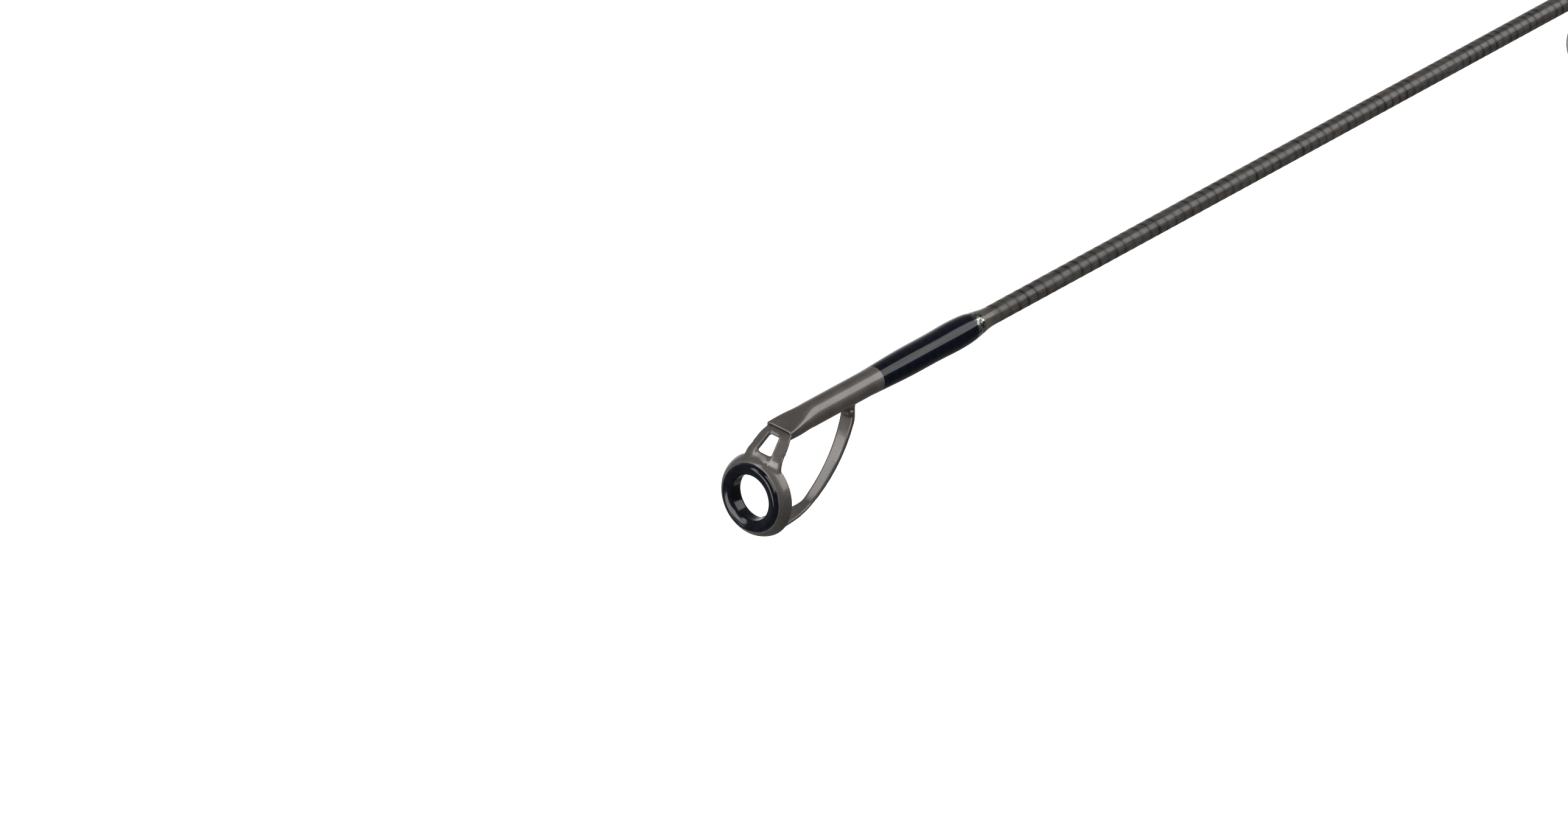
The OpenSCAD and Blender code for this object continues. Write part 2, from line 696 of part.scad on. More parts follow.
// Brace: a pad brazed under the tube, a bowed strap, and a tongue that widens into the collar's lowest part
module brace() {
    low = tip_centre + tip_down * collar_r;
    root = low - tip_axis * collar_len / 2;
    elbow = low + [-tongue_len, -tongue_sag];
    foot = [-brace_back, -tube_r];
    bow = [-brace_back + bow_back, lerp(foot.y, elbow.y, bow_at)];
    lead = elbow + (elbow - bow) / norm(elbow - bow) * tongue_lead;
    half = brace_w / 2;
    bent_sheet(bend(foot, bow, elbow, 16), sheet_t, sheet_t, brace_w);
    intersection() {
        bent_sheet(bend(elbow, lead, root, 12), sheet_t, tongue_t, tongue_w);
        translate([0, 0, -2 * tongue_len]) linear_extrude(2 * tongue_len) polygon(concat(
            bend([elbow.x - past, half], [yoke_bend, half], [root.x, tongue_w / 2]),
            [[low.x, tongue_w / 2], [low.x, -tongue_w / 2]],
            bend([root.x, -tongue_w / 2], [yoke_bend, -half], [elbow.x - past, -half])));
    }
    translate([foot.x - sheet_t / 2, -half, -tube_r - brace_pad_h])
        cube([brace_foot_len, brace_w, brace_pad_h + tube_r / 2]);
}

module tip_top_frame() {
    edge = collar_t / 3;
    front = collar_len / 2;
    rear_r = collar_r + collar_flare;
    color("#5f5b57") difference() {
        union() {
            at_tip_ring() turned(concat([[-front, tip_ring_d / 2]],
                bend([-front, rear_r - edge], [-front, rear_r], [edge - front, rear_r], 4),
                bend([front - edge, collar_r], [front, collar_r], [front, collar_r - edge], 4),
                [[front, tip_ring_d / 2]]));
            at_mouth() yoke();
            at_mouth() brace();
        }
        at_tip_ring() rotate([0, 90, 0])
            cylinder(d = tip_ring_d + 2 * glue, h = 2 * tip_ring_t, center = true);
        translate([rod_len - tube_len, 0, 0]) rotate([0, 90, 0])
            cylinder(r = tube_r + glue, h = tube_len - crimp_len);
    }
}

module tip_top_ring() {
    wall = (tip_ring_d - tip_hole_d) / 2;
    color("#14161b") at_tip_ring()
        turned(ring_section(-tip_ring_t / 2, tip_ring_t / 2, tip_hole_d / 2, tip_ring_d / 2, wall * 0.4));
}

// Wrap that binds the tube to the blank: black thread, a silver band and a resin run-out

wrap_x0 = rod_len - bare_tube - tip_wrap_len;
wrap_x1 = rod_len - bare_tube;
tail_x0 = wrap_x0 - band_len - tail_len;
band_r0 = lerp(blank_r(tail_x0), tip_wrap_d / 2, 0.28);
band_r1 = lerp(blank_r(tail_x0), tip_wrap_d / 2, 0.8);

module tip_wrap() {
    top = tip_wrap_d / 2;
    front_r = tube_r + wrap_edge;
    color("#101218") difference() {
        turned(concat([[wrap_x0, 0], [wrap_x0, band_r1]],
            bend([wrap_x0, band_r1], [wrap_x0 + wrap_slope, top], [wrap_x0 + 2 * wrap_slope, top]),
            [[wrap_x1, front_r], [wrap_x1, 0]]));
        blank_core(wrap_x0 - past, wrap_x1);
        translate([rod_len - tube_len - glue, 0, 0]) rotate([0, 90, 0])
            cylinder(r = tube_r + glue, h = tube_len);
    }
}

module tip_trim_band() {
    color("#c9cdc4") sleeve([[wrap_x0 - band_len, band_r0], [wrap_x0 - glue, band_r1]]);
}

module tip_wrap_tail() {
    x1 = wrap_x0 - band_len - glue;
    low_r = blank_r(tail_x0) + wrap_edge;
    color("#5d554d") sleeve(concat([[tail_x0, low_r]],
        bend([lerp(tail_x0, x1, 0.25), low_r + wrap_edge / 2],
            [lerp(tail_x0, x1, 0.7), lerp(low_r, band_r0, 0.4)], [x1, band_r0])));
}

// One line for each node

butt_cap();
rear_grip();
rear_grip_check();
butt_blank();
tail_ring();
reel_seat_body();
rear_arbor();
front_arbor();
fixed_hood();
sliding_hood();
lock_nut();
fore_grip();
fore_grip_check();
hook_keeper();
hook_keeper_wraps();
spigot();
butt_joint_wrap();
butt_joint_trim();
tip_joint_wrap();
tip_joint_trim();
tip_blank();
for (i = [0 : len(guide_ring_d) - 1]) {
    guide_frame(i);
    guide_ring(i);
    guide_wraps(i);
}
tip_top_tube();
tip_top_frame();
tip_top_ring();
tip_wrap();
tip_trim_band();
tip_wrap_tail();
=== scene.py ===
"""Spinning rod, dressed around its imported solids. Metres, butt at the origin, tip along +X, guides below."""
import json
import math

import bmesh
import bpy
from mathutils import Matrix, Quaternion, Vector


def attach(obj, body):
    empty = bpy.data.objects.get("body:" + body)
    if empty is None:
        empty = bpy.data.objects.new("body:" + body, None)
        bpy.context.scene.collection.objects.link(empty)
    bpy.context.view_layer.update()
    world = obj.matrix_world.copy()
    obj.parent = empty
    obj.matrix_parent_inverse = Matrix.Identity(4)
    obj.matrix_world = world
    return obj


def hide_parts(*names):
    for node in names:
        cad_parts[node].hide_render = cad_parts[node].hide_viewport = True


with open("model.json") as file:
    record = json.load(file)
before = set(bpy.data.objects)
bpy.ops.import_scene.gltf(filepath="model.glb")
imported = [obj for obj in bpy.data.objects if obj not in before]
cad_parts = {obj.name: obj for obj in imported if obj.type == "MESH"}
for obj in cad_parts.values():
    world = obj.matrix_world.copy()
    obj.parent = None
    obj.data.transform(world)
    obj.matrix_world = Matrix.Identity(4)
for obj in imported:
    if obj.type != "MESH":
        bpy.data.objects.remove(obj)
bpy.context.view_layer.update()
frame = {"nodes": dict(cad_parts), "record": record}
nodes = frame["nodes"]

# Sizes of the rod in millimetres, as in the part's source
MM = 0.001
ROD_LEN = 1800.0
BUTT_LEN = 880.0
BUTT_END = 876.0
BLANK_START = 5.0
KNEE_X = 1490.0
TIP_D, KNEE_D, JOINT_D = 1.68, 2.6, 5.3
BUTT_TOP_D, BUTT_D = 5.6, 9.6
SPIGOT_R, SOCKET_R, SOCKET_END = 1.97, 1.98, 940.0
SEAT_X, SEAT_END = 231.0, 343.0
SEAT_D, SEAT_BORE_D, SEAT_FLAT = 20.0, 14.8, 8.3
THREAD_LEN, THREAD_PITCH, THREAD_DEPTH = 50.0, 2.0, 0.6
WRAP_T, WRAP_EDGE, WRAP_SLOPE, WRAP_LEAD = 0.4, 0.06, 2.6, 5.0

# Ridges that the shrink tape left on the blanks: pitch and height
TIP_PITCH, TIP_RIDGE = 1.3, 0.012
BUTT_PITCH, BUTT_RIDGE = 2.2, 0.02

# Tip-top, measured from the mouth of its tube
TUBE_R, TUBE_LEN, CRIMP_LEN, CRIMP_EASE = 1.105, 24.5, 3.8, 0.45
MOUTH_HALF_W, MOUTH_HALF_H, MOUTH_WALL = 1.32, 0.41, 0.15
MOUTH_RIM, MOUTH_DEPTH, MOUTH_SLANT = 0.04, 1.5, 0.35
SHEET = 0.38
SHEET_CORNER, SHEET_SLOPE = Vector((0.25, 0, 0)), Vector((0.7071, 0, -0.7071))
LEG_TURN, BRACE_TURN, BRACE_UNTURN = math.radians(18), math.radians(5), 0.4
RING_AT, RING_LEAN = (2.502, -5.107), math.radians(5)
COLLAR_SHIFT = (0, -0.1, -0.09)
LIP_FRONT, WRAP_FRONT, WRAP_REAR = -11.1, -12.2, -24.9
BAND_REAR, TAIL_REAR = -26.0, -27.8
FILM_T, SLEEVE_T, SLEEVE_LEAST_R = 0.004, 0.3, 0.8

# Squareness of a section: 2 is an oval, and a high value is nearly a rectangle
OVAL, BRAZE_FORM, DROP_FORM, MOUTH_FORM, BRACE_FORM, LEG_FORM = 2, 2.4, 2.6, 7, 8, 9

# Facets round each kind of piece, and the grain of the frame's skin in millimetres
RING_STEPS, TUBE_STEPS, BAR_STEPS = 128, 144, 64
TIP_STEPS, BUTT_STEPS, WRAP_STEPS, SEAT_STEPS = 40, 48, 72, 96
FRAME_VOXEL, FRAME_ROUNDS = 0.046, 4

# Photograph's camera: frame in pixels, scale at the mouth, and the mouth's place in the frame
FRAME_W, FRAME_H = 2576, 1356
PIXELS_PER_MM = 20.2
CAMERA_DISTANCE = 304.0
MOUTH_PIXEL = (1280.0, 708.3)
CAMERA_RIGHT = Vector((-0.6455, 0.7608, 0.068)).normalized()
CAMERA_UP = Vector((-0.3636, -0.3834, 0.8484))
CAMERA_ROLL = math.radians(0.73)
CAMERA_SPIN = math.radians(-1.5)

# Studio in metres: where the backdrop is brightest, as a direction, then the long softbox and the floor
BACKDROP = Vector((-0.6, -0.75, -0.28))
LONG_RISE, LONG_BACK, LONG_REACH = math.radians(51.8), 2.35, 2.1
FLOOR_DROP, FLOOR_HALF = 0.6, 30.0
WHITE = (1, 1, 1, 1)

X_AXIS, Y_AXIS, Z_AXIS = Vector((1, 0, 0)), Vector((0, 1, 0)), Vector((0, 0, 1))
AT_MOUTH = Matrix.Translation((ROD_LEN, 0, 0))
AT_RING = Matrix.Translation((RING_AT[0], 0, RING_AT[1])) @ Matrix.Rotation(-RING_LEAN, 4, "Y")


def lerp(a, b, t):
    return a + (b - a) * t


def smooth(t):
    return t * t * (3 - 2 * t)


def clamped(t):
    return min(1, max(0, t))


def butt_r(x):
    return lerp(BUTT_D, BUTT_TOP_D, (x - BLANK_START) / (BUTT_END - BLANK_START)) / 2


def tip_r(x):
    if x < KNEE_X:
        return lerp(JOINT_D, KNEE_D, (x - BUTT_LEN) / (KNEE_X - BUTT_LEN)) / 2
    return lerp(KNEE_D, TIP_D, (x - KNEE_X) / (ROD_LEN - CRIMP_LEN - KNEE_X)) / 2


def blank_r(x):
    return butt_r(x) if x < BUTT_LEN else tip_r(x)


def bend(p, c, q, steps):
    """Points of a curve from p to q that leans to the corner c."""
    p, c, q = Vector(p), Vector(c), Vector(q)
    ts = [i / steps for i in range(steps + 1)]
    return [p * (1 - t) ** 2 + c * 2 * t * (1 - t) + q * t * t for t in ts]


# Camera


def photograph_camera():
    right = CAMERA_RIGHT
    up = (CAMERA_UP - CAMERA_UP.dot(right) * right).normalized()
    turn, rise = math.cos(CAMERA_ROLL), math.sin(CAMERA_ROLL)
    right, up = right * turn + up * rise, up * turn - right * rise
    spin = Matrix.Rotation(CAMERA_SPIN, 3, "X")
    right, up = spin @ right, spin @ up
    back = right.cross(up)
    data = bpy.data.cameras.new("photograph_camera")
    data.sensor_fit = "HORIZONTAL"
    data.lens = data.sensor_width * PIXELS_PER_MM * CAMERA_DISTANCE / FRAME_W
    data.shift_x = (FRAME_W / 2 - MOUTH_PIXEL[0]) / FRAME_W
    data.shift_y = (MOUTH_PIXEL[1] - FRAME_H / 2) / FRAME_W
    data.clip_start, data.clip_end = 0.01, 100
    camera = bpy.data.objects.new("photograph_camera", data)
    axes = Matrix((right, up, back)).transposed().to_4x4()
    mouth = Vector((ROD_LEN, 0, 0)) * MM
    camera.matrix_world = Matrix.Translation(mouth + back * CAMERA_DISTANCE * MM) @ axes
    bpy.context.scene.collection.objects.link(camera)
    bpy.context.scene.camera = camera


photograph_camera()


# Materials


def colour(code):
    """Linear colour of an sRGB hex value."""
    parts = [int(code[i:i + 2], 16) / 255 for i in (1, 3, 5)]
    return tuple(c / 12.92 if c <= 0.04045 else ((c + 0.055) / 1.055) ** 2.4 for c in parts) + (1.0,)


def add(tree, kind, inputs=None, **settings):
    """Adds a node with its settings; an input is a value, or an output socket to link."""
    node = tree.nodes.new(kind)
    for key, value in settings.items():
        setattr(node, key, value)
    for key, value in (inputs or {}).items():
        if isinstance(value, bpy.types.NodeSocket):
            tree.links.new(value, node.inputs[key])
        else:
            node.inputs[key].default_value = value
    return node


def material(name, **sockets):
    """A material whose shader has these constants; returns it with its node tree, shader and coordinates."""
    made = bpy.data.materials.new(name)
    made.use_nodes = True
    tree = made.node_tree
    shader = tree.nodes["Principled BSDF"]
    for key, value in sockets.items():
        shader.inputs[key.replace("_", " ")].default_value = value
    place = add(tree, "ShaderNodeTexCoord").outputs["Object"]
    return made, tree, shader, place


def calc(tree, operation, *values):
    """Result of a sum on values or sockets."""
    return add(tree, "ShaderNodeMath", dict(enumerate(values)), operation=operation).outputs[0]


def mixed(tree, factor, first, second, blend="MIX"):
    """Mix of two colours."""
    inputs = {0: factor, 6: first, 7: second}
    return add(tree, "ShaderNodeMix", inputs, data_type="RGBA", blend_type=blend).outputs[2]


def ramp(tree, factor, *stops):
    """Colour ramp through (position, hex colour) stops."""
    node = add(tree, "ShaderNodeValToRGB", {"Fac": factor})
    band = node.color_ramp.elements
    while len(band) < len(stops):
        band.new(0.5)
    for element, (position, code) in zip(band, stops):
        element.position = position
        element.color = colour(code)
    return node.outputs["Color"]


def bump(tree, shader, height, depth):
    """Raises the surface by up to a depth in millimetres."""
    node = add(tree, "ShaderNodeBump", {"Height": height, "Distance": depth * MM, "Strength": 1.0})
    tree.links.new(node.outputs["Normal"], shader.inputs["Normal"])


def per_mm(size):
    """Texture scale whose pattern repeats about once in that many millimetres."""
    return 1 / (size * MM)


def stretched(tree, place, scale):
    """Coordinates scaled along each axis."""
    return add(tree, "ShaderNodeMapping", {"Vector": place, "Scale": scale}).outputs["Vector"]


def noise(tree, place, size, detail):
    """Noise with spots of about that many millimetres."""
    inputs = {"Vector": place, "Scale": per_mm(size), "Detail": detail}
    return add(tree, "ShaderNodeTexNoise", inputs).outputs["Fac"]


def waves(tree, place, size, distortion):
    """Waves along the rod, whose radian is that many millimetres: the texture has 20 radians to its unit."""
    inputs = {"Vector": place, "Scale": per_mm(size) / 20, "Distortion": distortion}
    return add(tree, "ShaderNodeTexWave", inputs, bands_direction="X").outputs["Fac"]


def gunmetal(name, dark, mid, light, gloss):
    """Gunmetal lacquer on steel: metal flake that shines broadly, under a coat with a sharper shine."""
    made, tree, shader, place = material(
        name, Metallic=0.7, Roughness=0.57, Coat_Weight=1.0, Coat_Roughness=gloss, Coat_IOR=1.68)
    flake = noise(tree, place, 0.09, 2.0)
    cloud = noise(tree, place, 1.6, 3.0)
    both = add(tree, "ShaderNodeMix", {0: 0.4, 2: flake, 3: cloud})
    tone = ramp(tree, both.outputs[0], (0.36, dark), (0.5, mid), (0.64, light))
    tree.links.new(tone, shader.inputs["Base Color"])
    bump(tree, shader, flake, 0.0012)
    return made


guide_metal = gunmetal("gunmetal_lacquer", "#726c67", "#7f7974", "#8c8680", 0.16)
clear_film = gunmetal("resin_film_on_gunmetal", "#76706b", "#847e79", "#918b85", 0.05)


def ceramic():
    """Polished black ceramic: near-black with a cold cast and mirror-like reflections."""
    made, tree, shader, place = material("black_ceramic", Roughness=0.13, IOR=1.55)
    tone = ramp(tree, noise(tree, place, 0.5, 3.0), (0.35, "#14171e"), (0.65, "#1b1f28"))
    tree.links.new(tone, shader.inputs["Base Color"])
    return made


black_ceramic = ceramic()


def thread_wrap():
    """Black thread under glossy epoxy: the thread hardly shows, and the resin is smooth and bright."""
    made, tree, shader, place = material(
        "black_wrap", Roughness=0.3, Specular_IOR_Level=0.1, Coat_Roughness=0.025, Coat_IOR=1.52)
    tone = ramp(tree, waves(tree, place, 0.18, 0.6), (0.0, "#090e1c"), (1.0, "#0f1525"))
    tree.links.new(tone, shader.inputs["Base Color"])
    brushed = noise(tree, stretched(tree, place, (0.02, 1.0, 1.0)), 0.16, 3.0)
    coat = ramp(tree, brushed, (0.3, "#d2d2d2"), (0.62, "#ffffff"))
    tree.links.new(coat, shader.inputs["Coat Weight"])
    return made


black_wrap = thread_wrap()


def metallic_thread():
    """Silver tinsel thread under epoxy: crumpled foil with a real bump of its facets, each facet painted from
    near-black to white as painted glints and shade, some tinted yellow-green.
    """
    made, tree, shader, place = material(
        "silver_thread", Metallic=1.0, Roughness=0.22, Coat_Weight=1.0, Coat_Roughness=0.03)
    facets = add(tree, "ShaderNodeTexVoronoi", {"Vector": place, "Scale": per_mm(0.24)})
    pick = add(tree, "ShaderNodeSeparateColor", {"Color": facets.outputs["Color"]})
    # Painted glints: each facet's metal colour runs from near-black to white, standing in for facets that
    # catch the light or miss it.
    tone = ramp(tree, pick.outputs["Red"], (0.0, "#20242c"), (0.35, "#5a5f62"), (0.55, "#c9cdb0"),
        (0.75, "#e9ebe6"), (1.0, "#ffffff"))
    tree.links.new(tone, shader.inputs["Base Color"])
    bump(tree, shader, pick.outputs["Green"], 0.05)
    return made


silver_thread = metallic_thread()


def resin_edge():
    """Clear epoxy run out over the blank: brown-grey, with the faint rings of its brush strokes."""
    made, tree, shader, place = material(
        "clear_resin", Roughness=0.35, Coat_Weight=1.0, Coat_Roughness=0.06)
    tone = ramp(tree, waves(tree, place, 0.5, 1.2), (0.0, "#544c45"), (1.0, "#6a6157"))
    tree.links.new(tone, shader.inputs["Base Color"])
    return made


clear_resin = resin_edge()


def carbon(name, dark, light, gloss, pitch=0.0, start=0.0):
    """Carbon fibre with streaks along the rod; a pitch adds a painted shade ring at the step of each turn of
    the tape.
    """
    made, tree, shader, place = material(
        name, Roughness=0.42, Coat_Weight=0.7, Coat_Roughness=gloss, Coat_IOR=1.5)
    fibre = noise(tree, stretched(tree, place, (0.12, 1.0, 1.0)), 0.22, 3.0)
    tone = ramp(tree, fibre, (0.35, dark), (0.65, light))
    if pitch:
        axes = add(tree, "ShaderNodeSeparateXYZ", {"Vector": place}).outputs
        angle = calc(tree, "ARCTAN2", axes["Y"], axes["Z"])
        along = calc(tree, "MULTIPLY_ADD", axes["X"], per_mm(pitch), -start / pitch)
        turns = calc(tree, "MULTIPLY_ADD", angle, 1 / math.tau, along)
        # Painted shade: the colour darkens and the coat thins at each tape step, standing in for the highlight
        # that the lapped step hides; the noise below makes some rings darker than others.
        line = ramp(tree, calc(tree, "FRACT", turns), (0.0, "#5a5a5a"), (0.08, "#e0e0e0"), (0.6, "#ffffff"),
            (0.84, "#c8c8c8"), (0.93, "#505050"))
        strength = ramp(tree, noise(tree, place, 2.4, 2.0), (0.35, "#808080"), (0.6, "#ffffff"))
        tone = mixed(tree, strength, tone, line, "MULTIPLY")
        tree.links.new(calc(tree, "MULTIPLY", line, 0.75), shader.inputs["Coat Weight"])
    tree.links.new(tone, shader.inputs["Base Color"])
    bump(tree, shader, fibre, 0.004)
    return made


tip_carbon = carbon("unsanded_carbon", "#4a4642", "#645f59", 0.2, TIP_PITCH, BUTT_LEN)
butt_carbon = carbon("unsanded_butt_carbon", "#47433f", "#605b55", 0.2, BUTT_PITCH, BLANK_START)
spigot_carbon = carbon("ground_carbon", "#232224", "#333234", 0.3)


def foam():
    """Closed-cell EVA foam: matt charcoal with fine pores."""
    made, tree, shader, place = material("eva_foam", Roughness=0.92)
    pores = add(tree, "ShaderNodeTexVoronoi", {"Vector": place, "Scale": per_mm(0.5)}).outputs["Distance"]
    cloud = noise(tree, place, 6, 4.0)
    both = add(tree, "ShaderNodeMix", {0: 0.5, 2: pores, 3: cloud})
    tone = ramp(tree, both.outputs[0], (0.2, "#1a1b1d"), (0.65, "#303134"))
    tree.links.new(tone, shader.inputs["Base Color"])
    bump(tree, shader, pores, 0.12)
    return made


eva_foam = foam()


def moulded(name, dark, light, roughness, grain_mm, depth):
    """Moulded plastic or rubber: one even colour with the fine grain of its mould."""
    made, tree, shader, place = material(name, Roughness=roughness)
    grain = noise(tree, place, grain_mm, 4.0)
    tone = ramp(tree, grain, (0.35, dark), (0.65, light))
    tree.links.new(tone, shader.inputs["Base Color"])
    bump(tree, shader, grain, depth)
    return made


cap_rubber = moulded("moulded_rubber", "#16171a", "#232427", 0.8, 0.6, 0.05)
seat_plastic = moulded("matt_nylon", "#131416", "#1d1e21", 0.5, 0.35, 0.02)
hood_plastic = moulded("satin_nylon", "#191a1c", "#242528", 0.34, 0.5, 0.012)
arbor_foam = moulded("arbor_foam", "#b19c72", "#cbb994", 0.9, 0.8, 0.08)


def anodised():
    """Anodised aluminium: gunmetal grey with fine turning lines round the rod."""
    made, tree, shader, place = material("anodised_aluminium", Metallic=1.0, Roughness=0.3)
    lines = noise(tree, stretched(tree, place, (1.0, 0.02, 0.02)), 0.15, 2.0)
    tone = ramp(tree, lines, (0.35, "#5d5b59"), (0.65, "#787573"))
    tree.links.new(tone, shader.inputs["Base Color"])
    bump(tree, shader, lines, 0.004)
    return made


trim_metal = anodised()


# Mesh tools, in millimetres until a piece is finished


def spun(outline, steps, closed=False, pitch=0.0):
    """Turns an outline of (x, radius) points about the rod's axis, as a screw if it has a pitch."""
    bm = bmesh.new()
    verts = [bm.verts.new((x, 0, r)) for x, r in outline]
    edges = [bm.edges.new(pair) for pair in zip(verts, verts[1:])]
    if closed:
        edges.append(bm.edges.new((verts[-1], verts[0])))
    bmesh.ops.spin(bm, geom=verts + edges, cent=(0, 0, 0), axis=X_AXIS, angle=math.tau,
        dvec=(pitch / steps, 0, 0), steps=steps, use_merge=not pitch)
    return bm


def lofted(bm, sections, hollow=False):
    """Skins a row of closed sections, and closes both ends, or joins the last to the first."""
    loops = []
    for section in sections:
        verts = [bm.verts.new(p) for p in section]
        edges = [bm.edges.new((verts[i - 1], verts[i])) for i in range(len(verts))]
        loops.append((verts, edges))
    following = loops[1:]
    if hollow:
        following.append(loops[0])
    for (_, first), (_, second) in zip(loops, following):
        bmesh.ops.bridge_loops(bm, edges=first + second)
    if not hollow:
        bm.faces.new(loops[0][0])
        bm.faces.new(loops[-1][0])


def oval(centre, across, upward, half_w, half_h, form, count):
    """Section between an oval and a rectangle."""
    points = []
    for i in range(count):
        a = math.tau * (i + 0.5) / count
        c, s = math.cos(a), math.sin(a)
        reach = (abs(c / half_w) ** form + abs(s / half_h) ** form) ** (-1 / form)
        points.append(centre + across * c * reach + upward * s * reach)
    return points


def joined(bm, other):
    """Adds another mesh's faces to bm."""
    carrier = bpy.data.meshes.new("carrier")
    other.to_mesh(carrier)
    other.free()
    bm.from_mesh(carrier)
    bpy.data.meshes.remove(carrier)


def moved(bm, matrix):
    bmesh.ops.transform(bm, matrix=matrix, verts=bm.verts)
    return bm


def resized_round(v, share):
    """Moves a vertex to a share of its distance from the rod's axis."""
    v.co.y *= share
    v.co.z *= share


def softened(bm, verts, rounds):
    for _ in range(rounds):
        bmesh.ops.smooth_vert(bm, verts=verts, factor=0.5, use_axis_x=True, use_axis_y=True, use_axis_z=True)


def melted(bm, voxel, rounds):
    """Joins overlapping shapes into one skin with soft edges, as a casting or a brazed joint has them."""
    mesh = bpy.data.meshes.new("rough")
    bm.to_mesh(mesh)
    bm.free()
    rough = bpy.data.objects.new("rough", mesh)
    bpy.context.scene.collection.objects.link(rough)
    skin = rough.modifiers.new("skin", "REMESH")
    skin.mode = "VOXEL"
    skin.voxel_size = voxel
    seen = rough.evaluated_get(bpy.context.evaluated_depsgraph_get())
    result = bmesh.new()
    result.from_mesh(seen.to_mesh())
    seen.to_mesh_clear()
    bpy.data.objects.remove(rough)
    bpy.data.meshes.remove(mesh)
    softened(result, result.verts, rounds)
    return result


def fillet(bm, centre, reach, rounds):
    """Softens the skin further about one place, as where sheets run into each other."""
    near = [v for v in bm.verts if (v.co - centre).length < reach]
    softened(bm, near, rounds)


def finished(name, bm, finish, body, stands_for, sharp=35):
    """Makes a piece of the mesh, with its finish, body and the solids that it stands for."""
    bmesh.ops.remove_doubles(bm, verts=bm.verts, dist=0.0005)
    bmesh.ops.recalc_face_normals(bm, faces=bm.faces)
    bmesh.ops.scale(bm, vec=(MM, MM, MM), verts=bm.verts)
    mesh = bpy.data.meshes.new(name)
    bm.to_mesh(mesh)
    bm.free()
    mesh.shade_smooth()
    mesh.set_sharp_from_angle(angle=math.radians(sharp))
    mesh.materials.append(finish)
    made = bpy.data.objects.new(name, mesh)
    bpy.context.scene.collection.objects.link(made)
    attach(made, body)
    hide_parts(*stands_for)


# Tip-top


def tip_tube():
    """Thin steel tube whose end is pressed flat round the frame's tang."""
    sections = []

    def station(x, half_w, half_h, form):
        sections.append(oval(Vector((x, 0, 0)), Y_AXIS, Z_AXIS, half_w, half_h, form, TUBE_STEPS))

    station(-TUBE_LEN, TUBE_R, TUBE_R, OVAL)
    steps = 24
    for i in range(steps):
        t = i / steps
        press = lerp(t, smooth(t), CRIMP_EASE)
        station(-CRIMP_LEN * (1 - t), lerp(TUBE_R, MOUTH_HALF_W, press), lerp(TUBE_R, MOUTH_HALF_H, press),
            lerp(OVAL, MOUTH_FORM, press * press))
    mouth = ((-MOUTH_RIM, 0), (0, MOUTH_RIM), (0, MOUTH_WALL), (-MOUTH_DEPTH, MOUTH_WALL))
    for x, less in mouth:
        station(x, MOUTH_HALF_W - less, MOUTH_HALF_H - less, MOUTH_FORM)
    for section in sections[-len(mouth):-1]:
        for p in section:
            p.x += MOUTH_SLANT * max(0, -p.z)
    bm = bmesh.new()
    lofted(bm, sections)
    finished("tip_top_tube_skin", moved(bm, AT_MOUTH), guide_metal, "tip_section",
        ["tip_top_tube"], sharp=50)


def bar(bm, points, half_ws, half_ts, form, turns=None):
    """Sweeps a flat section along points, its width along the rod's side axis or turned about the sweep."""
    sections = []
    for i, p in enumerate(points):
        ahead = points[min(i + 1, len(points) - 1)] - points[max(i - 1, 0)]
        normal = Y_AXIS.cross(Vector((ahead.x, 0, ahead.z)).normalized())
        turn = turns[i] if turns else 0
        across = Y_AXIS * math.cos(turn) + normal * math.sin(turn)
        upward = normal * math.cos(turn) - Y_AXIS * math.sin(turn)
        sections.append(oval(p, across, upward, half_ws[i], half_ts[i], form, BAR_STEPS))
    lofted(bm, sections)


def frame_legs(bm):
    """Two legs from the tube's mouth to the collar, the tang between them and the web at their ends."""
    half_t = SHEET / 2
    slope = [SHEET_CORNER + SHEET_SLOPE * d for d in (0.5, 1.0, 1.5, 1.9)]
    run = bend((-0.3, 0, 0), SHEET_CORNER, slope[0], 5) + slope[1:]
    end = run[-1]
    run += bend(end + SHEET_SLOPE * 0.2, end + SHEET_SLOPE * 0.6, end + SHEET_SLOPE * 0.7 - Z_AXIS * 0.9, 5)
    mouth_half_w, collar_half_w, widening_steps = 0.44, 0.58, 11
    shift, mouth_y, collar_y, collar_x = 0.06, 0.82, 1.48, 2.4
    turn_start, turn_length = -0.2, 0.6
    widening = [smooth(clamped(i / widening_steps)) for i in range(len(run))]
    half_ws = [lerp(mouth_half_w, collar_half_w, w) for w in widening]
    for side in (-1, 1):
        points = [p + Y_AXIS * (shift + side * lerp(mouth_y, collar_y, max(p.x, 0) / collar_x)) for p in run]
        turns = [side * LEG_TURN * smooth(clamped((p.x - turn_start) / turn_length)) for p in run]
        bar(bm, points, half_ws, [half_t] * len(run), LEG_FORM, turns)
    tang = [Vector((-1.2, 0.1, 0)), Vector((0.1, 0.1, 0))]
    tang += [SHEET_CORNER + SHEET_SLOPE * d for d in (0.12, 0.36)]
    bar(bm, tang, [0.95, 1.0, 1.0, 0.9], [0.1, half_t, half_t, half_t], LEG_FORM)
    web = [SHEET_CORNER + SHEET_SLOPE * d for d in (2.06, 2.35, 2.7)]
    bar(bm, web, [1.2] * 3, [half_t] * 3, LEG_FORM)


def frame_collar(bm):
    """Collar that holds the ceramic ring, with a rolled back edge, a flared side and a thin front lip."""
    back = bend((-0.62, 3.36), (-0.6, 3.6), (-0.42, 3.59), 4)
    flare = bend((-0.3, 3.57), (0.0, 3.5), (0.3, 3.33), 4)
    lip = bend((0.42, 3.22), (0.56, 3.14), (0.58, 3.04), 4)
    outline = [(-0.62, 2.92), (-0.62, 3.3), *back, *flare, *lip, (0.56, 2.92)]
    collar = spun(outline, RING_STEPS, closed=True)
    joined(bm, moved(collar, AT_RING @ Matrix.Translation(COLLAR_SHIFT)))


